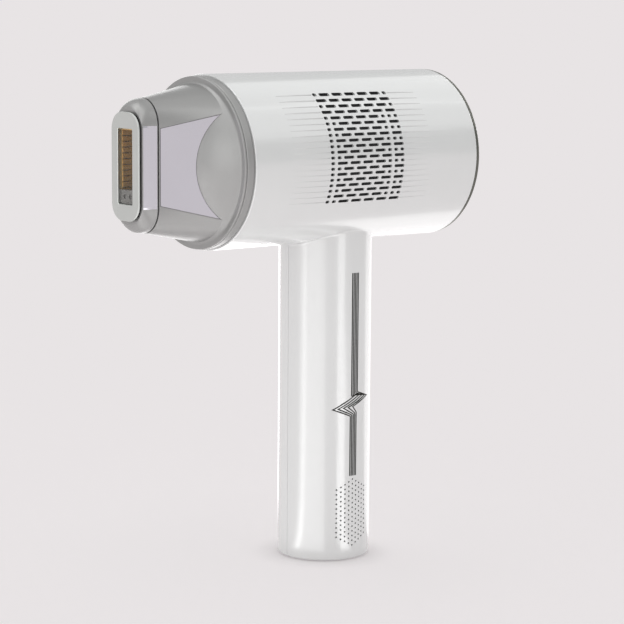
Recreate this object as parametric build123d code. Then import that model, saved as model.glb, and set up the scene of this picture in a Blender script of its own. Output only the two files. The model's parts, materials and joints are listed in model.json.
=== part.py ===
from build123d import *
import math
import os

# Hand-held pulsed-light hair remover, shaped like a hair dryer and standing on its handle.
# Millimetres. +Z is up, the nose points along -Y, and the origin is the centre of the foot.

# Barrel and handle
AXIS_Z = 172.0  # height of the barrel's axis above the surface the handle stands on
BARREL_R = 36.0
BARREL_WALL = 1.8
BARREL_BORE = BARREL_R - BARREL_WALL
BARREL_FRONT = -64.0
BARREL_REAR = 53.9
HANDLE_R = 19.8
HANDLE_WALL = 2.2
HANDLE_BORE = HANDLE_R - HANDLE_WALL
HANDLE_FOOT = 0.4  # the shell's lower edge, just above the rubber foot
SEAM_DEPTH = 0.25
SEAM_HALF_WIDTH = 0.07

# Vent slots, one field on each side of the barrel, cut straight through along X
VENT_START = -26.05  # Y of the field's front end
VENT_MODULE = 3.375  # a dot takes one module, a dash two
VENT_GAP = 1.3
VENT_HEIGHT = 1.2
VENT_ROW_PITCH = 2.273
VENT_TOP_Z = 27.5  # above the barrel's axis
VENT_ROWS = [".-----.", "------"] * 2 + [".----...", "..-----"] * 8
VENT_WALL = 0.9  # the wall is thinned behind the slots, where the dust mesh sits
GROOVE_WIDTH = 0.42
GROOVE_DEPTH = 0.26
GROOVE_FRONT_RUN = 19.0
GROOVE_REAR_RUN = 15.0

# Perforation near the foot of the handle: a hexagon of small holes on each side
HOLE_R = 0.4
HOLE_COLUMN_PITCH = 1.88
HOLE_ROW_PITCH = 2.06
HOLE_FIELD_Z = 20.9
HOLE_COLUMNS_EACH_SIDE = 4
HOLES_IN_MIDDLE_COLUMN = 15

# Inlaid lines on the handle: parallel strands that zig-zag once
STRAND_PITCH = 0.8
STRAND_WIDTH = 0.6
ZIGZAG_WIDTH = 0.48  # the strands are finer where they cross the stripe
STRANDS_EACH_SIDE = 2
STRAND_DEPTH = 0.25
STRAND_TOP_Z = 124.0
STRAND_BOTTOM_Z = 36.8

# Nozzle: a shallow dome on a thin rim, with a tapered nose that has two flat sides
RING_R = 35.3
RING_FRONT = -67.7
RING_REAR = -64.35
RIM_R = 35.2
RIM_FRONT = -68.9
RIM_REAR = -68.05
DOME_R = 43.3
DOME_CENTRE = -40.6
DOME_INNER_R = 41.0
NOSE_FRONT = -93.4
NOSE_REAR = -68.5
NOSE_FRONT_SIZE = (11.0, 15.8, 27.2)  # half-width, half-height of the flat side, half-height
NOSE_REAR_SIZE = (23.7, 21.9, 32.4)
NOSE_WALL = 1.3
SPIGOT_R = 31.0
SPIGOT_BORE = 29.0
SPIGOT_REAR = -60.0
PANEL_THICKNESS = 0.8
PANEL_GAP = 0.15  # the shadow line round each panel
PANEL_FRONT_HALF_HEIGHT = 15.5
PANEL_REAR_HALF_HEIGHT = 21.7

# Removable lamp head and its skin-contact frame
COLLAR_REAR = -93.85
COLLAR_FRONT = -100.8
COLLAR_REAR_SIZE = (11.0, 15.8, 27.2)
COLLAR_TAPER = 1.0  # how much narrower each side is at the front
COLLAR_ROLL = 4.8  # radius of the rolled top and bottom edges
PLATE_HALF_HEIGHT = 16.5
FRAME_FRONT = -102.4
FRAME_BACK = -101.75
FRAME_SIZE = (9.6, 21.75, 7.2)  # half-width, half-height, corner radius
WINDOW_SIZE = (5.15, 15.1, 0.8)
GLASS_SIZE = (5.0, 14.95, 0.7)
GLASS_FRONT = -101.88
GLASS_BACK = -101.28
FILTER_FRONT = -101.2
FILTER_BACK = -100.6
NECK_REAR = -95.4
BODY_FRONT = -98.4
BODY_REAR = -80.5
BODY_SIZE = (8.2, 20.5, 4.0)
SOCKET_FLOOR = -79.4
LAMP_Y = -90.5
RIB_COUNT = 10
RIB_PITCH = 2.3
RIB_HEIGHT = 1.35
RIB_TOP = 14.3
SLOT_HEIGHT = 0.45
SENSOR_TOP = -9.4
SENSOR_REAR = -98.0
MAGNET_Z = 14.0
CONTACT_ZS = (-4.5, -1.5, 1.5, 4.5)

# Cooling
SINK_BASE = (-73.5, -70.5)
SINK_HALF_WIDTH = 15.0
SINK_HALF_HEIGHT = 19.0
SINK_SCREWS = [(x, z) for x in (-12, 12) for z in (-16, 16)]
FAN_FRONT = -46.0
FAN_DEPTH = 11.0
FAN_HALF = 22.5
FAN_BORE = 21.0
BLADES = 7

# Electronics
BOARD_BOTTOM = 3.0  # above the barrel's axis
BOARD_TOP = 4.6
POSTS = [(x, y) for x in (-24.6, 24.6) for y in (-26.0, 38.0)]
CAPACITOR_R = 11.0
LEAD_YS = (-1.2, -3.0, -4.8)

# Buttons
FLASH_BUTTON_Z = 112.0
FLASH_BUTTON_SIZE = (10.0, 22.0)
POWER_BUTTON_Z = -13.0
CLEARANCE = 0.3


def rod(axis, radius, start, end, across=(0, 0)):
    """A cylinder along one axis, centred on the other two coordinates, in X, Y, Z order."""
    middle = (start + end) / 2
    place = {
        "x": Pos(middle, *across) * Rot(0, 90, 0),
        "y": Pos(across[0], middle, across[1]) * Rot(90, 0, 0),
        "z": Pos(*across, middle),
    }[axis]
    return place * Cylinder(radius, end - start)


def tube(axis, outer, inner, start, end, across=(0, 0)):
    return rod(axis, outer, start, end, across) - rod(axis, inner, start - 1, end + 1, across)


def block(xs, ys, zs):
    size = [high - low for low, high in (xs, ys, zs)]
    centre = [(high + low) / 2 for low, high in (xs, ys, zs)]
    return Pos(*centre) * Box(*size)


def across_nose(y):
    """The plane across the barrel's axis at y, seen from the front: X across and Z up."""
    return Plane(origin=(0, y, 0), x_dir=(1, 0, 0), z_dir=(0, -1, 0))


def rounded(size, y):
    half_width, half_height, radius = size
    return across_nose(y) * RectangleRounded(2 * half_width, 2 * half_height, radius)


def rounded_bar(size, front, rear):
    return extrude(rounded(size, rear), amount=rear - front)


def grow(size, amount):
    return tuple(value + amount for value in size)


def screw(place, head_r, head_height, shank_r, shank_length):
    """A pan-head screw with a cross recess. Its head stands on the place's XY plane."""
    head = Pos(0, 0, head_height / 2) * Cylinder(head_r, head_height)
    shank = Pos(0, 0, -shank_length / 2) * Cylinder(shank_r, shank_length)
    bar = Pos(0, 0, head_height) * Box(1.3 * head_r, 0.25 * head_r, head_height)
    return place * (head + shank - bar - Rot(0, 0, 90) * bar)


def mirrored(part):
    return mirror(part, about=Plane.YZ)


def group(pieces):
    """Several separate solids as one node. Solids that touch stay separate."""
    return Compound([solid for piece in pieces for solid in piece.solids()])


def barrel_frame(parts):
    """Lifts parts that were drawn about the barrel's axis to its height."""
    return {name: Pos(0, 0, AXIS_Z) * part for name, part in parts.items()}


# ---------------------------------------------------------------- housing


def vent_slots():
    """The slots of one vent field, as prisms along X about the barrel's axis."""
    slots = Sketch()
    for row, pattern in enumerate(VENT_ROWS):
        z = VENT_TOP_Z - row * VENT_ROW_PITCH
        y = VENT_START
        for mark in pattern:
            modules = 2 if mark == "-" else 1
            length = modules * VENT_MODULE - VENT_GAP
            slots += Pos(y + length / 2, z) * SlotOverall(length, VENT_HEIGHT)
            y += modules * VENT_MODULE
    return extrude(Plane.YZ.offset(15) * slots, amount=25)


def vent_grooves():
    """Shallow lines that run on from each row of slots and fade out into the surface."""
    field_end = VENT_START + 12 * VENT_MODULE - VENT_GAP
    grooves = []
    for row in range(len(VENT_ROWS)):
        z = VENT_TOP_Z - row * VENT_ROW_PITCH
        surface = math.sqrt(BARREL_R**2 - z**2)
        for near, far in (
            (VENT_START - 0.6, VENT_START - GROOVE_FRONT_RUN),
            (field_end + 0.6, field_end + GROOVE_REAR_RUN),
        ):
            deep = surface - GROOVE_DEPTH * BARREL_R / surface
            corners = [(deep, near), (surface + 1, near), (surface + 1, far), (surface, far)]
            face = Pos(0, 0, z - GROOVE_WIDTH / 2) * make_face(Polyline(corners, close=True))
            grooves.append(extrude(face, amount=GROOVE_WIDTH))
    return grooves


def perforation():
    """The hexagonal field of holes near the handle's foot, as rods along X."""
    holes = []
    for column in range(-HOLE_COLUMNS_EACH_SIDE, HOLE_COLUMNS_EACH_SIDE + 1):
        count = HOLES_IN_MIDDLE_COLUMN - abs(column)
        for index in range(count):
            z = HOLE_FIELD_Z + (index - (count - 1) / 2) * HOLE_ROW_PITCH
            holes.append(rod("x", HOLE_R, 10, 25, (column * HOLE_COLUMN_PITCH, z)))
    return holes


def strand_lines():
    """The inlaid strands as prisms along X: a vertical stripe with one plain zig-zag."""
    lines = []
    for number in range(-STRANDS_EACH_SIDE, STRANDS_EACH_SIDE + 1):
        upper = (number * STRAND_PITCH + 0.7, 72.1 + 0.42 * number)
        lower = (number * STRAND_PITCH + 0.1, 63.55 + 0.37 * number)
        right_tip = (5.2 + 1.9 * number, 71.2 - 0.3 * number)
        left_tip = (-4.8 + 2.25 * number, 66.4 + 0.22 * number)
        strand = trace(Polyline((upper[0], STRAND_TOP_Z), upper), STRAND_WIDTH)
        strand += trace(Polyline(upper, right_tip, left_tip, lower), ZIGZAG_WIDTH)
        strand += trace(Polyline(lower, (lower[0], STRAND_BOTTOM_Z)), STRAND_WIDTH)
        lines.append(extrude(Plane.YZ.offset(10) * strand, amount=15))
    return lines


def seam_groove():
    """A fine groove round the outside where the two halves meet."""
    sheet = block((-SEAM_HALF_WIDTH, SEAM_HALF_WIDTH), (-80, 80), (-20, 300))
    barrel = Pos(0, 0, AXIS_Z) * rod("y", BARREL_R - SEAM_DEPTH, -90, 90)
    handle = rod("z", HANDLE_R - SEAM_DEPTH, -30, AXIS_Z)
    return sheet - barrel - handle


def housing_halves():
    barrel = Pos(0, 0, AXIS_Z) * rod("y", BARREL_R, BARREL_FRONT, BARREL_REAR)
    handle = rod("z", HANDLE_R, HANDLE_FOOT, AXIS_Z)
    outside = barrel + handle
    edges = outside.edges()
    meeting_line = edges - edges.filter_by(GeomType.CIRCLE) - edges.filter_by(GeomType.LINE)
    outside = fillet(meeting_line, 1.2)
    outside = fillet(outside.edges().filter_by(GeomType.CIRCLE).sort_by(Axis.Z)[0], 0.9)
    circles = outside.edges().filter_by(GeomType.CIRCLE)
    outside = fillet(circles.filter_by(lambda edge: abs(edge.radius - BARREL_R) < 0.01), 0.4)

    bore = Pos(0, 0, AXIS_Z) * rod("y", BARREL_BORE, -90, 90) + rod("z", HANDLE_BORE, -10, AXIS_Z)
    button_slot = Pos(0, 0, FLASH_BUTTON_Z) * extrude(
        Plane.XZ.offset(-10) * Rot(0, 0, 90)
        * SlotOverall(FLASH_BUTTON_SIZE[1] + 2 * CLEARANCE, FLASH_BUTTON_SIZE[0] + 2 * CLEARANCE),
        amount=-15,
    )
    shell = outside - bore - button_slot - seam_groove()
    half = shell & block((0, 50), (-90, 90), (-10, 300))

    mesh_pocket = rod("y", BARREL_R - VENT_WALL, -27.3, 14.6) & block((10, 40), (-40, 40), (-18.2, 29.9))
    cloth_pocket = rod("z", HANDLE_R - 1.0, 3.8, 38.5) & block((5, 30), (-9.4, 9.4), (0, 50))
    half = half - Pos(0, 0, AXIS_Z) * mesh_pocket - cloth_pocket
    half = half - Pos(0, 0, AXIS_Z) * vent_slots()
    half = half - [Pos(0, 0, AXIS_Z) * groove for groove in vent_grooves()]
    half = half - perforation()
    recess = tube("z", HANDLE_R + 2, HANDLE_R - STRAND_DEPTH, STRAND_BOTTOM_Z - 1, STRAND_TOP_Z + 1)
    half = half - [line & recess for line in strand_lines()]
    return {"right_housing": half, "left_housing": mirrored(half)}


def housing_inserts():
    """The inlays, dust meshes and cloths that sit in the housing halves."""
    skin = tube("z", HANDLE_R, HANDLE_R - STRAND_DEPTH, STRAND_BOTTOM_Z - 1, STRAND_TOP_Z + 1)
    inlay = group([line & skin for line in strand_lines()])
    mesh = tube("y", BARREL_R - 1.0, BARREL_R - 1.55, -27.0, 14.3)
    mesh = Pos(0, 0, AXIS_Z) * (mesh & block((10, 40), (-40, 40), (-17.9, 29.6)))
    cloth = tube("z", HANDLE_R - 1.1, HANDLE_R - 1.6, 4.1, 38.2) & block((5, 30), (-9.1, 9.1), (0, 50))
    return {
        "right_accent_inlay": inlay,
        "left_accent_inlay": mirrored(inlay),
        "right_vent_mesh": mesh,
        "left_vent_mesh": mirrored(mesh),
        "grille_cloths": group([cloth, mirrored(cloth)]),
    }


# ---------------------------------------------------------------- nozzle


def nose_section(size, y, inset=0.0):
    """A tall outline with two flat sides and an arc across the top and the bottom."""
    half_width, flat, half_height = (value - inset for value in size)
    flat += 0.5 * inset
    right_low, right_high = (half_width, -flat), (half_width, flat)
    left_low, left_high = (-half_width, -flat), (-half_width, flat)
    outline = (
        Line(right_low, right_high)
        + ThreePointArc(right_high, (0, half_height), left_high)
        + Line(left_high, left_low)
        + ThreePointArc(left_low, (0, -half_height), right_low)
    )
    return across_nose(y) * make_face(outline)


def nose(inset=0.0):
    sections = [
        nose_section(NOSE_FRONT_SIZE, NOSE_FRONT, inset),
        nose_section(NOSE_REAR_SIZE, NOSE_REAR, inset),
    ]
    return loft([section.face() for section in sections], ruled=True)


def side_panel(gap=0.0):
    """The polished plate let into the right-hand flat of the nose, up to the dome, or its
    recess when there is no gap round it."""
    skin = nose() - Pos(-PANEL_THICKNESS, 0, 0) * nose()
    front, rear = NOSE_FRONT + 0.35 + gap, NOSE_REAR
    front_half, rear_half = PANEL_FRONT_HALF_HEIGHT - gap, PANEL_REAR_HALF_HEIGHT - gap
    corners = [(front, -front_half), (rear, -rear_half), (rear, rear_half), (front, front_half)]
    prism = extrude(Plane.YZ.offset(5) * make_face(Polyline(corners, close=True)), amount=25)
    dome = Pos(0, DOME_CENTRE, 0) * Sphere(DOME_R + gap)
    return (skin & prism) - dome


def dome_shape():
    """The dome, blended into the thin rim that closes it against the bezel ring."""
    dome = Pos(0, DOME_CENTRE, 0) * Sphere(DOME_R) & block((-50, 50), (-90, RIM_FRONT), (-50, 50))
    dome += rod("y", RIM_R, RIM_FRONT, RIM_REAR)
    circles = dome.edges().filter_by(GeomType.CIRCLE)
    front_circles = circles.filter_by(lambda edge: edge.center().Y < RIM_FRONT + 0.1).sort_by(SortBy.RADIUS)
    return fillet(front_circles[0], 1.2).fillet(0.35, [front_circles[-1]])


def nozzle_parts():
    hollow = Pos(0, DOME_CENTRE, 0) * Sphere(DOME_INNER_R) & rod("y", SPIGOT_BORE, -90, RING_FRONT + 1)
    lip = NOSE_FRONT + 1.4
    inner_nose = nose(NOSE_WALL) & block((-50, 50), (lip, -72), (-50, 50))
    opening = rounded_bar(grow(BODY_SIZE, CLEARANCE), NOSE_FRONT - 1, lip + 1)
    shell = dome_shape() + nose() + rod("y", 33.0, RIM_REAR, RING_FRONT)
    shell += rod("y", SPIGOT_R, RING_FRONT, SPIGOT_REAR)
    shell = shell - rod("y", SPIGOT_BORE, -70, SPIGOT_REAR + 1) - hollow - inner_nose - opening
    recess = side_panel()
    shell = shell - recess - mirrored(recess)
    panel = side_panel(PANEL_GAP)

    ring = tube("y", RING_R, SPIGOT_R + 0.2, RING_FRONT, RING_REAR)
    outer_edges = ring.edges().filter_by(GeomType.CIRCLE).filter_by(lambda edge: edge.radius > 35)
    ring = chamfer(outer_edges, 0.25)
    ring += tube("y", RING_R - 0.4, 32.6, RING_REAR, BARREL_FRONT)
    ring += tube("y", BARREL_BORE - 0.1, 32.6, BARREL_FRONT, BARREL_FRONT + 4)
    return {
        "nozzle_shell": shell,
        "right_side_panel": panel,
        "left_side_panel": mirrored(panel),
        "front_bezel_ring": ring,
    }


def magnets(front, rear):
    return [rod("y", 3.0, front, rear, (0, z)) for z in (-MAGNET_Z, MAGNET_Z)]


def socket_parts():
    """The socket that takes the lamp head, and the cooling stack behind it."""
    socket = rounded_bar((9.5, 21.8, 6.0), NOSE_FRONT + 1.4, SOCKET_FLOOR)
    socket -= rounded_bar(grow(BODY_SIZE, CLEARANCE), NOSE_FRONT, SOCKET_FLOOR)
    back = SINK_BASE[0] - 3.5
    socket += block((-13.5, 13.5), (SOCKET_FLOOR, back), (-18.5, 18.5))
    socket += rounded_bar((9.5, 21.8, 6.0), SOCKET_FLOOR, back)
    magnet_pair = magnets(SOCKET_FLOOR, SOCKET_FLOOR + 1.8)
    pins = [rod("y", 0.7, BODY_REAR + 0.15, back - 0.2, (0, z)) for z in CONTACT_ZS]
    holes = [rod("y", 0.75, SOCKET_FLOOR - 1, back + 1, (0, z)) for z in CONTACT_ZS]
    holes += [rod("y", 0.9, SOCKET_FLOOR - 1, SINK_BASE[1] + 1, at) for at in SINK_SCREWS]
    socket = socket - magnet_pair - holes

    sink = block((-SINK_HALF_WIDTH, SINK_HALF_WIDTH), SINK_BASE, (-SINK_HALF_HEIGHT, SINK_HALF_HEIGHT))
    for number in range(-4, 5):
        x = number * 3.6
        sink += block((x - 0.6, x + 0.6), (SINK_BASE[1], -54.0), (-SINK_HALF_HEIGHT, SINK_HALF_HEIGHT))
    sink -= [rod("y", 2.5, SINK_BASE[1], -50, at) for at in SINK_SCREWS]
    sink -= [rod("y", 0.9, SINK_BASE[0] - 1, SINK_BASE[1] + 1, at) for at in SINK_SCREWS]
    facing_rear = [Pos(x, SINK_BASE[1], z) * Rot(-90, 0, 0) for x, z in SINK_SCREWS]

    duct_outside = Pos(0, -54, 0) * Rot(90, 0, 0) * Cone(FAN_HALF, SPIGOT_BORE - 0.2, 16)
    duct_inside = Pos(0, -54, 0) * Rot(90, 0, 0) * Cone(FAN_HALF - 1, SPIGOT_BORE - 1.2, 16)
    return {
        "lamp_socket": socket,
        "socket_magnets": group(magnet_pair),
        "contact_pins": group(pins),
        "cooling_plate": block((-10, 10), (back, SINK_BASE[0]), (-14, 14)),
        "heat_sink": sink,
        "heat_sink_screws": group([screw(place, 2.0, 1.4, 0.8, 8.0) for place in facing_rear]),
        "fan_duct": duct_outside - duct_inside,
    }


# ---------------------------------------------------------------- lamp head


def collar(inset=0.0):
    """The outside of the lamp head, moved towards its middle by the inset. The top and the
    bottom run nearly level, then roll over at the front; the sides stay flat."""
    half_width, flat, half_height = COLLAR_REAR_SIZE
    sections = []
    for run in (0.0, 0.3, 0.55, 0.7, 0.82, 0.92, 1.0):
        turn = max(0.0, run - 0.4) / 0.6 * 0.92
        roll = COLLAR_ROLL * (1 - math.sqrt(1 - turn**2))
        size = (half_width - COLLAR_TAPER * run, flat, half_height - 0.8 * run - roll)
        sections.append(nose_section(size, COLLAR_REAR + run * (COLLAR_FRONT - COLLAR_REAR)))
    return Pos(-inset, 0, 0) * loft([section.face() for section in sections])


def reflector_part():
    """The gold light box: a ribbed neck behind the window and a trough behind the lamp."""
    reflector = block((-6.6, 6.6), (NECK_REAR, -84.5), (-15.6, 15.6))
    reflector -= extrude(Pos(0, NECK_REAR, -16) * Ellipse(5.6, 9.4), amount=32)
    for number in range(12):
        z = (number - 5.5) * 2.35
        reflector -= extrude(Pos(0, NECK_REAR, z - 0.6) * Ellipse(6.1, 10.0), amount=1.2)
    neck = rounded_bar(GLASS_SIZE, FILTER_BACK, NECK_REAR)
    neck += block((-6.6, 6.6), (NECK_REAR - 0.6, NECK_REAR), (-15.6, 15.6))
    neck -= rounded_bar((4.55, 14.5, 0.3), FILTER_BACK - 1, NECK_REAR + 1)
    for number in range(RIB_COUNT):
        middle = RIB_TOP - (number + 0.5) * RIB_PITCH
        rib = (middle - RIB_HEIGHT / 2, middle + RIB_HEIGHT / 2)
        slot_middle = middle - RIB_PITCH / 2
        slot = (slot_middle - SLOT_HEIGHT / 2, slot_middle + SLOT_HEIGHT / 2)
        for near, far in ((-4.7, -4.2), (4.2, 4.7)):
            neck += block((near, far), (FILTER_BACK + 0.2, NECK_REAR), rib)
        neck -= block((-6, 6), (FILTER_BACK + 0.5, NECK_REAR - 0.8), slot)
    neck -= block((-6, 6), (FILTER_BACK - 1, SENSOR_REAR + 0.05), (-16, SENSOR_TOP + 0.05))
    return neck + reflector


def lamp_head_parts():
    plate_ys = (COLLAR_FRONT + 0.45, COLLAR_REAR - 0.5)
    plate = (collar() - collar(0.5)) & block((5, 15), plate_ys, (-PLATE_HALF_HEIGHT, PLATE_HALF_HEIGHT))
    shell = chamfer(collar().edges().group_by(Axis.Y)[-1], 0.3)
    shell -= rounded_bar((8.8, 21.1, 5.5), COLLAR_FRONT - 1, -97.0)
    shell -= rounded_bar(grow(BODY_SIZE, 0.05), -98.0, COLLAR_REAR + 1)
    shell = shell - plate - mirrored(plate)

    body = rounded_bar(BODY_SIZE, BODY_FRONT, BODY_REAR)
    body -= rounded_bar((7.0, 19.3, 2.0), BODY_FRONT + 1.0, BODY_REAR - 2.2)
    body -= rounded_bar(grow(GLASS_SIZE, 0.05), BODY_FRONT - 1, BODY_FRONT + 2)
    magnet_pair = magnets(BODY_REAR - 2.0, BODY_REAR)
    pads = [rod("y", 1.1, BODY_REAR - 0.7, BODY_REAR, (0, z)) for z in CONTACT_ZS]
    body = body - magnet_pair - pads

    sensor = rounded_bar(GLASS_SIZE, FILTER_FRONT, SENSOR_REAR)
    sensor &= block((-6, 6), (-110, -90), (-16, SENSOR_TOP))
    sensor -= [rod("y", 0.9, -102, FILTER_FRONT + 0.5, (x, -12)) for x in (-2, 2)]
    above_sensor = block((-6, 6), (-110, -90), (SENSOR_TOP + 0.1, 16))

    lamp = tube("z", 2.4, 1.7, -18.4, 18.4, (0, LAMP_Y))
    holder = block((-6.6, 6.6), (NECK_REAR + 1, -84.5), (15.8, 18.2)) - rod("z", 2.45, 10, 20, (0, LAMP_Y))
    electrode = rod("z", 1.6, 13.5, 18.4, (0, LAMP_Y)) + rod("z", 2.4, 18.4, 19.2, (0, LAMP_Y))
    return {
        "cartridge_collar": shell,
        "collar_plates": group([plate, mirrored(plate)]),
        "cartridge_body": body,
        "window_glass": rounded_bar(GLASS_SIZE, GLASS_FRONT, GLASS_BACK),
        "filter_glass": rounded_bar(GLASS_SIZE, FILTER_FRONT, FILTER_BACK) & above_sensor,
        "reflector": reflector_part(),
        "skin_sensor": sensor,
        "lamp_tube": lamp,
        "lamp_electrodes": group([electrode, mirror(electrode, about=Plane.XY)]),
        "lamp_holders": group([holder, mirror(holder, about=Plane.XY)]),
        "cartridge_magnets": group(magnet_pair),
        "contact_pads": group(pads),
    }


def contact_frame_parts():
    """The sprung frame round the window that feels whether it lies flat on the skin."""
    plate = rounded_bar(FRAME_SIZE, FRAME_FRONT, FRAME_BACK)
    plate = fillet(plate.faces().sort_by(Axis.Y)[0].edges(), 0.28)
    frame = plate + rounded_bar((6.05, 16.05, 1.6), FRAME_BACK - 0.1, -100.4)
    frame -= rounded_bar(WINDOW_SIZE, FRAME_FRONT - 1, -100)
    bevel_front = rounded(grow(WINDOW_SIZE, 0.2), FRAME_FRONT - 0.01)
    bevel_back = rounded(WINDOW_SIZE, FRAME_FRONT + 0.2)
    frame -= loft([bevel_front.face(), bevel_back.face()], ruled=True)
    seal = rounded_bar((8.4, 20.7, 5.1), FRAME_BACK, -99.9)
    seal -= rounded_bar((7.4, 19.7, 4.1), FRAME_BACK - 1, -99)

    coil = Helix(pitch=0.725, height=2.9, radius=1.25)
    wire = sweep(Plane(origin=coil @ 0, z_dir=coil % 0) * Circle(0.16), path=coil, is_frenet=True)
    springs = [Pos(0, BODY_FRONT - 0.2, z) * Rot(90, 0, 0) * wire for z in (-17.9, 17.9)]
    return {"contact_frame": frame, "frame_seal": seal, "frame_springs": group(springs)}


# ---------------------------------------------------------------- fan


def fan_parts():
    rear = FAN_FRONT + FAN_DEPTH
    strut_back = FAN_FRONT + 1.2
    frame = block((-FAN_HALF, FAN_HALF), (FAN_FRONT, rear), (-FAN_HALF, FAN_HALF))
    frame = fillet(frame.edges().filter_by(Axis.Y), 2.5) - rod("y", FAN_BORE, FAN_FRONT - 1, rear + 1)
    corners = [(x, z) for x in (-18.5, 18.5) for z in (-18.5, 18.5)]
    frame -= [rod("y", 1.6, FAN_FRONT - 1, rear + 1, at) for at in corners]
    frame += rod("y", 9.0, FAN_FRONT, strut_back)
    for angle in (90, 210, 330):
        frame += Rot(0, angle, 0) * block((8, FAN_BORE + 0.5), (FAN_FRONT, strut_back), (-1.2, 1.2))

    motor = rod("y", 6.6, strut_back, FAN_FRONT + 7.2) + rod("y", 1.0, FAN_FRONT + 7.2, FAN_FRONT + 9.7)

    rotor = rod("y", 9.0, FAN_FRONT + 2.0, FAN_FRONT + 10.0)
    rotor -= rod("y", 7.3, FAN_FRONT + 1.0, FAN_FRONT + 8.4)
    for number in range(BLADES):
        blade = Pos(14.3, FAN_FRONT + 6.0, 0) * Rot(38, 0, 0) * Box(11.4, 9.2, 1.1)
        rotor += Rot(0, 360 * number / BLADES, 0) * blade
    rotor -= rod("y", 1.05, FAN_FRONT, rear)
    rotor &= rod("y", FAN_BORE - 0.7, FAN_FRONT + 1.6, rear - 0.5)
    rotor -= rod("y", 7.3, FAN_FRONT + 1.0, FAN_FRONT + 8.4)
    return {"fan_frame": frame, "fan_motor": motor, "fan_rotor": rotor}


# ---------------------------------------------------------------- electronics


def chassis_part():
    """A bulkhead that carries the fan, and a floor with posts for the main board."""
    rear = FAN_FRONT + FAN_DEPTH
    inside = rod("y", BARREL_BORE - 0.1, rear, 44)
    floor = block((-32, 32), (rear, 44), (-22, -20)) & inside
    floor -= block((-3, 3), (-9, 0), (-30, -10))
    bulkhead = rod("y", BARREL_BORE - 0.1, rear, rear + 2) - rod("y", FAN_BORE, rear - 1, rear + 3)
    chassis = floor + bulkhead
    chassis += [rod("z", 2.0, -20.5, BOARD_BOTTOM, at) for at in POSTS]
    return chassis - [rod("z", 0.9, -6, BOARD_BOTTOM + 1, at) for at in POSTS]


def main_board_parts():
    board = block((-27, 27), (-31, 43), (BOARD_BOTTOM, BOARD_TOP))
    board -= [rod("z", 1.0, 0, 10, at) for at in POSTS]
    screws = [screw(Pos(*at, BOARD_TOP), 2.0, 1.4, 0.8, 8.0) for at in POSTS]

    can = rod("y", CAPACITOR_R, 0, 44.4, (11.3, -9.0))
    can = fillet(can.edges().filter_by(GeomType.CIRCLE), 1.0)
    can -= tube("y", CAPACITOR_R + 1, CAPACITOR_R - 0.5, 3.5, 4.7, (11.3, -9.0))

    core = block((-21, 1), (15, 25), (BOARD_TOP, 20.6))
    winding = block((-17.5, -2.5), (12, 28), (7.6, 17.6)) - core
    trigger = rod("z", 6.0, BOARD_TOP, 16.6, (14, -20))
    trigger = fillet(trigger.edges().group_by(Axis.Z)[-1], 1.0)
    film_capacitor = block((6, 22), (-8, 0), (BOARD_TOP, 15))
    transistor = block((10, 24), (10, 12), (BOARD_TOP, 24))
    controller = block((-16, -8), (-20, -12), (BOARD_TOP, 6))
    driver = block((-16, -11), (-6, -1), (BOARD_TOP, 6))
    connector = block((-6, 2), (-30, -25), (BOARD_TOP, 10))
    lead_connector = block((-4, 4), (-7, 0), (BOARD_TOP, 9))
    coil = tube("z", 5.0, 2.0, BOARD_TOP, 10, (16, 24))
    return {
        "main_board": board,
        "board_screws": group(screws),
        "flash_capacitors": group([can, mirrored(can)]),
        "charging_transformer": group([core, winding]),
        "trigger_transformer": trigger,
        "board_components": group(
            [film_capacitor, transistor, controller, driver, connector, lead_connector, coil]
        ),
    }


def rear_parts():
    """The rear cap with its dark display lens, board, switch and power button."""
    button_at = (0, POWER_BUTTON_Z)
    ring = tube("y", BARREL_R - 0.1, 33.1, BARREL_REAR, BARREL_REAR + 1.5)
    rear_circles = ring.edges().filter_by(GeomType.CIRCLE).sort_by(Axis.Y)[-2:]
    ring = fillet(rear_circles.sort_by(SortBy.RADIUS)[-1], 0.35)
    ring += tube("y", BARREL_BORE - 0.1, 33.1, 51.0, BARREL_REAR)
    cap = rod("y", 33.0, 50.6, 53.0) - rod("y", 6.0 + CLEARANCE, 50, 54, button_at)
    cap -= block((-13.4, 13.4), (50, 54), (1.6, 14.4))
    cap += [rod("y", 2.2, 45.8, 50.6, (x, 0)) for x in (-18, 18)]
    lens = rod("y", 33.0, 53.0, 54.9) - rod("y", 6.0 + CLEARANCE, 52, 56, button_at)
    lens = chamfer(lens.edges().filter_by(GeomType.CIRCLE).sort_by(Axis.Y)[-2:], 0.25)
    board = block((-22, 22), (44.6, 45.8), (-20, 16))
    digits = block((-13, 13), (45.8, 52.8), (2, 14))
    switch = block((-3, 3), (45.8, 47.6), (POWER_BUTTON_Z - 3, POWER_BUTTON_Z + 3))
    switch += rod("y", 1.5, 47.6, 47.9, button_at)
    button = rod("y", 6.0, 50.0, 55.1, button_at)
    button = fillet(button.edges().filter_by(GeomType.CIRCLE).sort_by(Axis.Y)[-1], 0.5)
    button += rod("y", 7.4, 49.2, 50.2, button_at) + rod("y", 2.0, 48.7, 49.3, button_at)
    return {
        "rear_trim_ring": ring,
        "rear_cap": cap,
        "display_lens": lens,
        "display_board": group([board, digits]),
        "power_switch": switch,
        "power_button": button,
    }


# ---------------------------------------------------------------- handle


def stadium_bar(width, height, front, rear):
    """A round-ended bar along Y at the flash button's height."""
    face = Plane.XZ.offset(-front) * Rot(0, 0, 90) * SlotOverall(height, width)
    return Pos(0, 0, FLASH_BUTTON_Z) * extrude(face, amount=front - rear)


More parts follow.
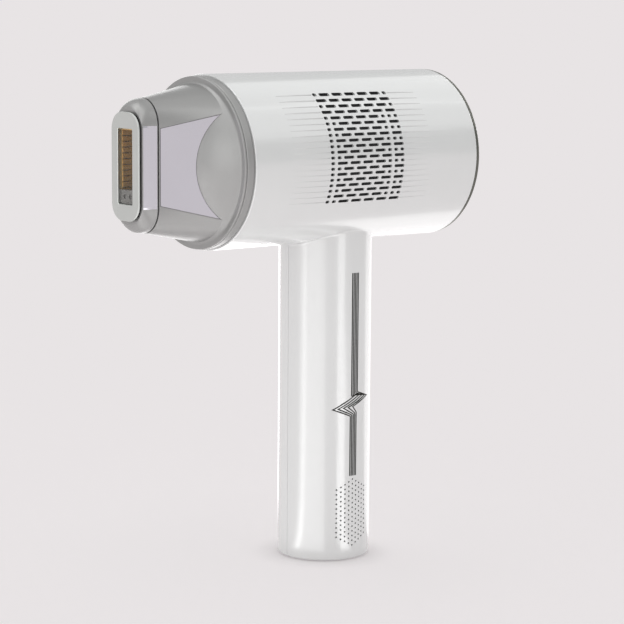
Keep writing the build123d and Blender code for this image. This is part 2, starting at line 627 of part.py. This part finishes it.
def flash_button_part():
    width, height = FLASH_BUTTON_SIZE
    body = stadium_bar(width, height, 10, 30) & rod("z", HANDLE_R + 0.8, 80, 140)
    body = fillet(body.edges().filter_by(lambda edge: edge.center().Y > 17), 0.5)
    flange = stadium_bar(width + 2.6, height + 2.6, 10, 30) & rod("z", HANDLE_BORE - 0.35, 80, 140)
    button = body + flange - rod("z", 16.2, 80, 140)
    return button + rod("y", 2.0, 16.0, 16.8, (0, FLASH_BUTTON_Z))


def handle_parts():
    inside = HANDLE_BORE - 0.1
    frame = block((-7, 7), (6.5, 9.0), (16, 128))
    for z in (16, 60, 126):
        frame += rod("z", inside, z, z + 2)
    frame -= rod("z", 5.5, 10, 200, (0, -1.5))
    frame += block((10.4, 12.2), (-6, 6), (18, 30.2))
    frame += [rod("z", 2.4, 3.6, 16.5, (0, y)) for y in (-10, 10)]
    frame -= [rod("z", 1.05, 3.0, 10.5, (0, y)) for y in (-10, 10)]
    frame -= [rod("z", 2.4, 10, 200, (x, -9)) for x in (-8, 8)]

    board = block((-6, 6), (9.0, 10.2), (96, 126))
    switch = block((-3, 3), (10.2, 13.7), (FLASH_BUTTON_Z - 3, FLASH_BUTTON_Z + 3))
    switch += rod("y", 1.7, 13.7, 14.9, (0, FLASH_BUTTON_Z))

    jack = block((-5, 5), (-5.5, 5.5), (3.6, 15.6)) + rod("z", 4.2, 1.0, 3.7)
    jack -= rod("z", 2.85, 0, 10.5)

    cap = rod("z", HANDLE_BORE - 0.1, HANDLE_FOOT, 3.6) - rod("z", 4.3, 0, 4)
    cap -= tube("z", 16.7, 13.3, 0, 1.6)
    cap -= [rod("z", 2.3, 0, 1.9, (0, y)) for y in (-10, 10)]
    cap -= [rod("z", 1.1, 0, 4, (0, y)) for y in (-10, 10)]
    facing_down = [Pos(0, y, 1.9) * Rot(180, 0, 0) for y in (-10, 10)]
    foot = tube("z", 16.6, 13.4, 0, 1.6)
    leads = [rod("z", 0.7, 15.6, AXIS_Z + BOARD_BOTTOM, (0, y)) for y in LEAD_YS]
    return {
        "flash_button": flash_button_part(),
        "handle_frame": frame,
        "button_board": board,
        "flash_switch": switch,
        "sounder": rod("x", 6.0, 12.2, 16.2, (0, 24.2)),
        "dc_jack": jack,
        "dc_pin": rod("z", 1.0, 1.8, 10.5),
        "base_cap": cap,
        "foot_ring": fillet(foot.edges().filter_by(GeomType.CIRCLE).group_by(Axis.Z)[0], 0.3),
        "base_screws": group([screw(place, 2.1, 1.2, 1.0, 7.5) for place in facing_down]),
        "power_leads": group(leads),
    }


def main():
    parts = {}
    parts.update(housing_halves())
    parts.update(housing_inserts())
    parts.update(handle_parts())
    about_barrel = [
        nozzle_parts,
        socket_parts,
        lamp_head_parts,
        contact_frame_parts,
        fan_parts,
        main_board_parts,
        rear_parts,
    ]
    for build in about_barrel:
        parts.update(barrel_frame(build()))
    parts.update(barrel_frame({"chassis": chassis_part()}))

    os.makedirs("parts", exist_ok=True)
    for name, part in parts.items():
        export_step(part, f"parts/{name}.step")


main()
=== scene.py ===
import json
import math

import bpy
from mathutils import Matrix, Vector

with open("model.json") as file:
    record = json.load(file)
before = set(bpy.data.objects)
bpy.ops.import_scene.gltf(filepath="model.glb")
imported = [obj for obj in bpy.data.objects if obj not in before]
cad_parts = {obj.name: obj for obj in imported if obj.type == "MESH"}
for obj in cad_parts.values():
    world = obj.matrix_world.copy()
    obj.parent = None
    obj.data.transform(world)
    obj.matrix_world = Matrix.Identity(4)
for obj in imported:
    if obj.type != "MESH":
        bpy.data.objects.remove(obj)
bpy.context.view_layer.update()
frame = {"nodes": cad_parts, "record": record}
nodes = frame["nodes"]

# The camera: where it stands round the object, and the point it looks at
CAMERA_AZIMUTH = math.radians(51.586)
CAMERA_ELEVATION = math.radians(8.237)
CAMERA_ROLL = math.radians(0.399)
CAMERA_DISTANCE = 0.96775
CAMERA_AIM = (-0.00545, 0.0050, 0.100)  # right and up across the view, and the height of the aim
CAMERA_LENS = 129.92
SENSOR_WIDTH = 36.0

BACKDROP = (0.807, 0.776, 0.783)
STUDIO_BRIGHTNESS = 0.6  # of the surroundings, for everything but the camera's own view

# The floor. Round the handle's foot its own glow is dimmed in two rings, a painted shadow. Each
# ring is given by where it starts and ends, measured from the origin, and by the floor's brightness
# at its start.
FLOOR_RADIUS = 80.0  # so far off that its edge lies above the picture
FLOOR_DROP = 0.0001  # the gap that keeps it from cutting into the foot
FLOOR_BOUNCE = 0.57  # the share of its brightness that comes from the light falling on it
PAINTED_CONTACT_SHADOW = (0.018, 0.031)
CONTACT_BRIGHTNESS = 0.86
PAINTED_SHADOW_HALO = (0.025, 0.13)
HALO_BRIGHTNESS = 0.975

# Soft lights: azimuth from the camera (positive to its right) and elevation in degrees, width
# and height in metres, and radiance. All hang at one distance from a point near the object's
# middle.
LIGHT_CENTRE = (0, -0.02, 0.13)
LIGHT_DISTANCE = 1.4
SOFTBOXES = {
    "front_strip": (-24, 14, 0.80, 0.80, 0.95),
    "left_low": (-60, 14, 0.50, 0.80, 0.5),
    "left_overhead": (-90, 50, 0.60, 0.95, 1.4),
    "front_overhead": (-20, 55, 1.10, 1.00, 0.7),
    "right_overhead": (82, 42, 1.10, 0.80, 0.35),
    "rear_overhead": (140, 44, 1.10, 0.80, 0.40),
    "top": (0, 86, 1.30, 1.30, 0.25),
    "back_left": (-162, 14, 0.50, 0.80, 1.6),
    "far_right": (138, 14, 0.50, 0.80, 2.5),
    "back_right": (156, 14, 0.32, 0.80, 3.5),
}

# Glowing wedges on the floor: azimuth from the camera and half angle in degrees, and radiance
GLOW_REACH = (0.03, 1.4)  # from the origin to a wedge's inner and outer end
GLOW_HEIGHT = 0.002
GLOW_STEPS = 8  # straight pieces along each curved end
GLOWS = {
    "glow_left": (-50, 5, 0.9),
    "glow_front": (-30, 32, 0.38),
    "glow_right": (41, 9, 0.9),
    "glow_back": (146, 26, 0.5),
    "glow_rear": (-165, 13, 1.6),
}

# How fine each texture is: the scale of its noise or cells, per metre
MOTTLE = 60.0
CLOUD = 80.0
SMEAR = 120.0
ORANGE_PEEL = 300.0
BOARD_SHEEN = 500.0
GLOSS_PEEL = 700.0
PLASTIC_GRAIN = 900.0
METAL_GRAIN = 2500.0
RUBBER_GRAIN = 3500.0
PAINT_FLAKES = 6000.0
BOARD_TRACKS = 260.0
TRACK_EDGE = 0.62  # how far from a cell's middle its copper track begins, in cells
NOISE_RANGE = (0.3, 0.7)  # nearly all of a noise texture's values lie between these

# Where a Mix node keeps its two colours and its result
COLOUR_A, COLOUR_B, COLOUR_RESULT = 6, 7, 2

# ---------------------------------------------------------------- materials


class Graph:
    """One material's node tree, built call by call round its Principled shader."""

    def __init__(self, name):
        self.name = name
        self.material = bpy.data.materials.new(name)
        self.material.use_nodes = True
        self.tree = self.material.node_tree
        self.shader = self.tree.nodes["Principled BSDF"]
        self.coords = self.node("ShaderNodeTexCoord").outputs["Object"]

    def feed(self, socket, value):
        """Link a socket to another one, or give it a fixed number, vector or colour."""
        if isinstance(value, bpy.types.NodeSocket):
            self.tree.links.new(value, socket)
        elif socket.type == "RGBA":
            socket.default_value = (*value, 1.0)
        else:
            socket.default_value = value

    def node(self, kind, inputs=None, **settings):
        made = self.tree.nodes.new(kind)
        for key, value in settings.items():
            setattr(made, key, value)
        for key, value in (inputs or {}).items():
            self.feed(made.inputs[key], value)
        return made

    def set(self, **sockets):
        """Feed the shader's own sockets, named with underscores for their spaces."""
        for name, value in sockets.items():
            self.feed(self.shader.inputs[name.replace("_", " ")], value)

    def stretched(self, scale):
        made = self.node("ShaderNodeMapping", {"Vector": self.coords, "Scale": scale})
        return made.outputs["Vector"]

    def noise(self, scale, detail=3.0, vector=None):
        inputs = {"Vector": vector or self.coords, "Scale": scale, "Detail": detail}
        return self.node("ShaderNodeTexNoise", inputs).outputs["Fac"]

    def between(self, value, low, high, start=NOISE_RANGE[0], end=NOISE_RANGE[1]):
        """Turn values from start to end into values from low to high."""
        inputs = {"Value": value, "From Min": start, "From Max": end, "To Min": low, "To Max": high}
        return self.node("ShaderNodeMapRange", inputs).outputs["Result"]

    def mix(self, factor, first, second):
        made = self.node("ShaderNodeMix", {"Factor": factor}, data_type="RGBA")
        self.feed(made.inputs[COLOUR_A], first)
        self.feed(made.inputs[COLOUR_B], second)
        return made.outputs[COLOUR_RESULT]

    def mottled(self, noise, colour, spread):
        """A colour that wanders by the spread to both sides, as the noise does."""
        factor = self.between(noise, 0.0, 1.0)
        return self.mix(factor, shade(colour, 1 - spread), shade(colour, 1 + spread))

    def uneven(self, noise, value, spread):
        """A number that wanders by the spread to both sides, as the noise does."""
        return self.between(noise, value * (1 - spread), value * (1 + spread))

    def maths(self, operation, first, second=0.0):
        made = self.node("ShaderNodeMath", {0: first, 1: second}, operation=operation)
        return made.outputs[0]

    def axis(self, name):
        return self.node("ShaderNodeSeparateXYZ", {0: self.coords}).outputs[name]

    def bump(self, height, distance):
        made = self.node("ShaderNodeBump", {"Height": height, "Distance": distance})
        return made.outputs["Normal"]


def shade(colour, factor):
    return tuple(min(1.0, channel * factor) for channel in colour)


def plastic(
    name, colour, roughness, grain=PLASTIC_GRAIN, depth=0.00001, spread=0.03, metallic=0.0
):
    """Moulded or painted plastic: a faint mottle, a fine texture, and uneven gloss."""
    graph = Graph(name)
    mottle = graph.noise(MOTTLE)
    fine = graph.noise(grain, 4.0)
    graph.set(
        Base_Color=graph.mottled(mottle, colour, spread),
        Roughness=graph.uneven(fine, roughness, 0.12),
        Metallic=metallic,
        Normal=graph.bump(fine, depth),
    )
    return graph


def dull_plastic(name, colour, roughness, specular):
    """Plastic that hardly mirrors anything."""
    graph = plastic(name, colour, roughness)
    graph.set(Specular_IOR_Level=specular)
    return graph


def gloss_plastic(name, colour, roughness, metallic=0.0):
    """High-gloss plastic, or pearl paint where it is partly metallic, under a clear coat."""
    graph = plastic(
        name, colour, roughness, grain=GLOSS_PEEL, depth=0.000002, spread=0.008, metallic=metallic
    )
    graph.set(Coat_Weight=1.0, Coat_Roughness=0.10, Coat_IOR=1.6, Specular_IOR_Level=0.8)
    return graph


def metal(name, colour, roughness, stretch=(1.0, 1.0, 1.0), spread=0.05):
    """Bare or plated metal. Stretching the grain along one axis gives brushed or drawn lines."""
    graph = Graph(name)
    lines = graph.noise(METAL_GRAIN, 4.0, graph.stretched(stretch))
    cloud = graph.noise(CLOUD)
    graph.set(
        Base_Color=graph.mottled(cloud, colour, spread),
        Roughness=graph.uneven(lines, roughness, 0.2),
        Metallic=1.0,
        Normal=graph.bump(lines, 0.000004),
    )
    return graph


def silver_paint(name, colour, roughness, metallic=0.4):
    """Satin silver paint: very fine metal flakes, and a faint orange peel."""
    graph = Graph(name)
    flakes = graph.node("ShaderNodeTexVoronoi", {"Vector": graph.coords, "Scale": PAINT_FLAKES})
    sparkle = graph.node("ShaderNodeSeparateColor", {0: flakes.outputs["Color"]}).outputs[0]
    peel = graph.noise(ORANGE_PEEL, 1.0)
    graph.set(
        Base_Color=graph.mix(sparkle, shade(colour, 0.98), shade(colour, 1.02)),
        Roughness=graph.uneven(peel, roughness, 0.05),
        Metallic=metallic,
        Normal=graph.bump(peel, 0.000001),
    )
    return graph


def glass(name, colour, opacity, roughness=0.03):
    """A thin clear pane: it lets light straight through, tints it a little, and keeps its gloss."""
    graph = Graph(name)
    smear = graph.noise(SMEAR)
    graph.set(
        Base_Color=graph.mix(graph.between(smear, 0.0, 1.0), shade(colour, 0.97), colour),
        Roughness=graph.between(smear, roughness, roughness * 2),
        Alpha=opacity,
        Specular_IOR_Level=0.5,
    )
    return graph


def rubber(name, colour, roughness=0.75):
    """Soft matt rubber with a fine grain."""
    graph = Graph(name)
    grain = graph.noise(RUBBER_GRAIN, 5.0)
    graph.set(
        Base_Color=graph.mix(grain, shade(colour, 0.85), shade(colour, 1.15)),
        Roughness=graph.between(grain, roughness * 0.9, roughness),
        Normal=graph.bump(grain, 0.00002),
    )
    return graph


def woven(name, colour, pitch=0.0004):
    """Fine woven mesh or cloth: threads that cross, a pitch apart along Y and along Z."""
    graph = Graph(name)
    waves = []
    for axis in ("Y", "Z"):
        turns = graph.maths("MULTIPLY", graph.axis(axis), 2 * math.pi / pitch)
        waves.append(graph.maths("ABSOLUTE", graph.maths("SINE", turns)))
    threads = graph.maths("MAXIMUM", *waves)
    graph.set(
        Base_Color=graph.mix(threads, shade(colour, 0.25), shade(colour, 1.3)),
        Roughness=0.7,
        Normal=graph.bump(threads, 0.00008),
    )
    return graph


def circuit_board(name, colour):
    """Green solder mask over copper tracks."""
    graph = Graph(name)
    inputs = {
        "Vector": graph.stretched((1.0, 1.0, 0.0)),
        "Scale": BOARD_TRACKS,
        "Randomness": 0.55,
    }
    cells = graph.node("ShaderNodeTexVoronoi", inputs, distance="MANHATTAN", feature="F1")
    tracks = graph.maths("GREATER_THAN", cells.outputs["Distance"], TRACK_EDGE)
    graph.set(
        Base_Color=graph.mix(tracks, colour, shade(colour, 1.7)),
        Roughness=graph.between(graph.noise(BOARD_SHEEN), 0.28, 0.4),
        Normal=graph.bump(tracks, 0.00003),
    )
    return graph


# One finish for each of the record's material slots, under the slot's name
FINISHES = [
    gloss_plastic("white_gloss_plastic", (0.745, 0.755, 0.75), 0.24, metallic=0.35),
    dull_plastic("dark_inlay", (0.012, 0.012, 0.009), 0.5, specular=0.12),
    woven("vent_mesh", (0.02, 0.02, 0.022)),
    woven("grille_cloth", (0.02, 0.02, 0.022)),
    silver_paint("nozzle_grey", (0.36, 0.36, 0.355), 0.34, metallic=0.6),
    metal("polished_panel", (0.66, 0.65, 0.70), 0.12, stretch=(1.0, 0.05, 1.0), spread=0.01),
    silver_paint("collar_grey", (0.36, 0.36, 0.355), 0.34, metallic=0.6),
    metal("contact_metal", (0.65, 0.67, 0.65), 0.38, spread=0.02),
    # A real seal, made near-black so that it also stands in for the shade in the slit between the
    # contact frame and the collar: partly a painted shade.
    rubber("frame_rubber", (0.012, 0.012, 0.013)),
    metal("spring_steel", (0.55, 0.55, 0.56), 0.25),
    metal("screw_steel", (0.6, 0.6, 0.62), 0.3),
    plastic("cartridge_plastic", (0.022, 0.022, 0.024), 0.4),
    glass("window", (0.30, 0.30, 0.30), 0.06),
    glass("filter", (0.55, 0.36, 0.12), 0.04),
    metal("gold_reflector", (1.0, 0.70, 0.32), 0.5, stretch=(1.0, 1.0, 0.08)),
    glass("lamp_glass", (0.85, 0.86, 0.88), 0.25),
    metal("electrode", (0.35, 0.35, 0.37), 0.35),
    plastic("lamp_holder", (0.70, 0.68, 0.62), 0.6, depth=0.00003),
    metal("magnet", (0.62, 0.62, 0.64), 0.16),
    metal("gold_contact", (0.90, 0.66, 0.28), 0.18),
    plastic("cooling_plate", (0.80, 0.80, 0.77), 0.55, depth=0.00002),
    metal("heat_sink", (0.68, 0.69, 0.71), 0.32, stretch=(1.0, 0.04, 1.0)),
    plastic("fan_plastic", (0.018, 0.018, 0.02), 0.45, depth=0.00002),
    metal("fan_motor", (0.45, 0.45, 0.47), 0.35),
    plastic("chassis_plastic", (0.48, 0.48, 0.47), 0.6, depth=0.00003),
    circuit_board("circuit_board", (0.012, 0.10, 0.035)),
    plastic("display_module", (0.03, 0.03, 0.032), 0.4),
    plastic("skin_sensor", (0.17, 0.165, 0.155), 0.4),
    plastic("components", (0.02, 0.02, 0.022), 0.42, depth=0.00002),
    plastic("capacitor", (0.012, 0.016, 0.05), 0.3),
    metal("transformer", (0.20, 0.18, 0.16), 0.5),
    plastic("trigger", (0.03, 0.035, 0.05), 0.25),
    plastic("lead", (0.35, 0.02, 0.015), 0.4),
    gloss_plastic("dark_lens", (0.006, 0.006, 0.008), 0.08),
    # Chrome darkened well below its real brightness, standing in for the dark surroundings it would
    # mirror: a painted dark reflection.
    metal("chrome_ring", (0.17, 0.17, 0.15), 0.2),
    silver_paint("button_silver", (0.55, 0.55, 0.57), 0.3),
    rubber("foot_rubber", (0.30, 0.30, 0.31)),
]
MATERIALS = {graph.name: graph.material for graph in FINISHES}

for part in frame["record"]["subparts"]:
    nodes[part["node"]].material_slots[0].material = MATERIALS[part["material_slot"]]


# ---------------------------------------------------------------- floor, light and camera


def outward(azimuth, elevation=0.0):
    """A direction away from the object. Azimuth is 0 at the nose and grows towards +X."""
    level = math.cos(elevation)
    return math.sin(azimuth) * level, -math.cos(azimuth) * level, math.sin(elevation)


def from_camera(degrees):
    """An azimuth that is measured from the camera's own, positive to its right."""
    return CAMERA_AZIMUTH + math.radians(degrees)


def make_floor():
    """A plain pale floor. Part of its brightness is its own, so the object's shadow stays soft;
    round the foot that own glow is dimmed into a painted shadow.
    """
    bpy.ops.mesh.primitive_circle_add(
        vertices=96, radius=FLOOR_RADIUS, fill_type="NGON", location=(0, 0, -FLOOR_DROP)
    )
    floor = bpy.context.object
    floor.name = "studio_floor"
    graph = Graph("studio_floor")
    # Painted shadow: the floor's own glow is dimmed near the origin, round the handle's foot
    length = graph.node("ShaderNodeVectorMath", {0: graph.coords}, operation="LENGTH")
    distance = length.outputs["Value"]
    contact = graph.between(distance, CONTACT_BRIGHTNESS, 1.0, *PAINTED_CONTACT_SHADOW)
    halo = graph.between(distance, HALO_BRIGHTNESS, 1.0, *PAINTED_SHADOW_HALO)
    brightness = graph.maths("MULTIPLY", contact, halo)
    graph.set(
        Base_Color=shade(BACKDROP, FLOOR_BOUNCE / STUDIO_BRIGHTNESS),
        Roughness=1.0,
        Specular_IOR_Level=0.0,
        Emission_Color=BACKDROP,
        Emission_Strength=graph.maths("SUBTRACT", brightness, FLOOR_BOUNCE),
    )
    floor.data.materials.append(graph.material)
    return floor


def make_world():
    """Pale grey in the camera's view, and a softer grey for everything the object reflects."""
    world = bpy.data.worlds.new("studio")
    bpy.context.scene.world = world
    world.use_nodes = True
    tree = world.node_tree
    seen = tree.nodes["Background"]
    seen.inputs["Color"].default_value = (*BACKDROP, 1.0)
    lighting = tree.nodes.new("ShaderNodeBackground")
    lighting.inputs["Color"].default_value = (1.0, 1.0, 1.0, 1.0)
    lighting.inputs["Strength"].default_value = STUDIO_BRIGHTNESS
    path = tree.nodes.new("ShaderNodeLightPath")
    mix = tree.nodes.new("ShaderNodeMixShader")
    tree.links.new(path.outputs["Is Camera Ray"], mix.inputs[0])
    tree.links.new(lighting.outputs[0], mix.inputs[1])
    tree.links.new(seen.outputs[0], mix.inputs[2])
    tree.links.new(mix.outputs[0], tree.nodes["World Output"].inputs[0])


def softbox(name, azimuth, elevation, width, height, radiance):
    """A soft rectangular light that faces the object."""
    out = Vector(outward(from_camera(azimuth), math.radians(elevation)))
    light = bpy.data.lights.new(name, "AREA")
    light.shape = "RECTANGLE"
    light.size, light.size_y = width, height
    light.energy = radiance * width * height * math.pi
    lamp = bpy.data.objects.new(name, light)
    bpy.context.scene.collection.objects.link(lamp)
    lamp.location = Vector(LIGHT_CENTRE) + out * LIGHT_DISTANCE
    lamp.rotation_mode = "QUATERNION"
    lamp.rotation_quaternion = out.to_track_quat("Z", "Y")
    lamp.light_linking.receiver_collection = unlit_floor


def floor_glow(name, azimuth, half_angle, radiance):
    """A clear, glowing wedge that lies on the floor and points at the object. The camera doesn't
    see it, only its reflection in the gloss."""
    first = from_camera(azimuth - half_angle)
    step = math.radians(half_angle) * 2 / GLOW_STEPS
    rim = [outward(first + step * count) for count in range(GLOW_STEPS + 1)]
    ends = zip(GLOW_REACH, (rim, rim[::-1]))
    corners = [(x * reach, y * reach, GLOW_HEIGHT) for reach, edge in ends for x, y, _ in edge]
    mesh = bpy.data.meshes.new(name)
    mesh.from_pydata(corners, [], [list(range(len(corners)))])
    wedge = bpy.data.objects.new(name, mesh)
    bpy.context.scene.collection.objects.link(wedge)
    graph = Graph(name)
    glow = graph.node("ShaderNodeEmission", {"Strength": radiance}).outputs[0]
    clear = graph.node("ShaderNodeBsdfTransparent").outputs[0]
    both = graph.node("ShaderNodeAddShader", {0: glow, 1: clear}).outputs[0]
    graph.feed(graph.tree.nodes["Material Output"].inputs["Surface"], both)
    mesh.materials.append(graph.material)
    wedge.visible_camera = False
    wedge.visible_shadow = False
    wedge.light_linking.receiver_collection = unlit_floor


def make_camera():
    """The camera, rolled a little about its own line of sight."""
    back = Vector(outward(CAMERA_AZIMUTH, CAMERA_ELEVATION))
    level = Vector((math.cos(CAMERA_AZIMUTH), math.sin(CAMERA_AZIMUTH), 0))
    upright = back.cross(level)
    right = math.cos(CAMERA_ROLL) * level + math.sin(CAMERA_ROLL) * upright
    up = math.cos(CAMERA_ROLL) * upright - math.sin(CAMERA_ROLL) * level
    across, above, height = CAMERA_AIM
    aim = Vector((0, 0, height)) + right * across + up * above
    camera = bpy.data.objects.new("camera", bpy.data.cameras.new("camera"))
    bpy.context.scene.collection.objects.link(camera)
    camera.data.lens = CAMERA_LENS
    camera.data.sensor_width = SENSOR_WIDTH
    camera.data.clip_start = 0.05
    camera.data.clip_end = 100.0
    placed = Matrix((right, up, back)).transposed().to_4x4()
    placed.translation = aim + back * CAMERA_DISTANCE
    camera.matrix_world = placed
    bpy.context.scene.camera = camera


# The softboxes and glows leave the floor out, so that it stays as even as the backdrop
unlit_floor = bpy.data.collections.new("unlit_floor")
unlit_floor.objects.link(make_floor())
unlit_floor.collection_objects[0].light_linking.link_state = "EXCLUDE"

make_world()
for name, settings in SOFTBOXES.items():
    softbox(name, *settings)
for name, settings in GLOWS.items():
    floor_glow(name, *settings)
make_camera()
bpy.context.scene.view_settings.view_transform = "Standard"
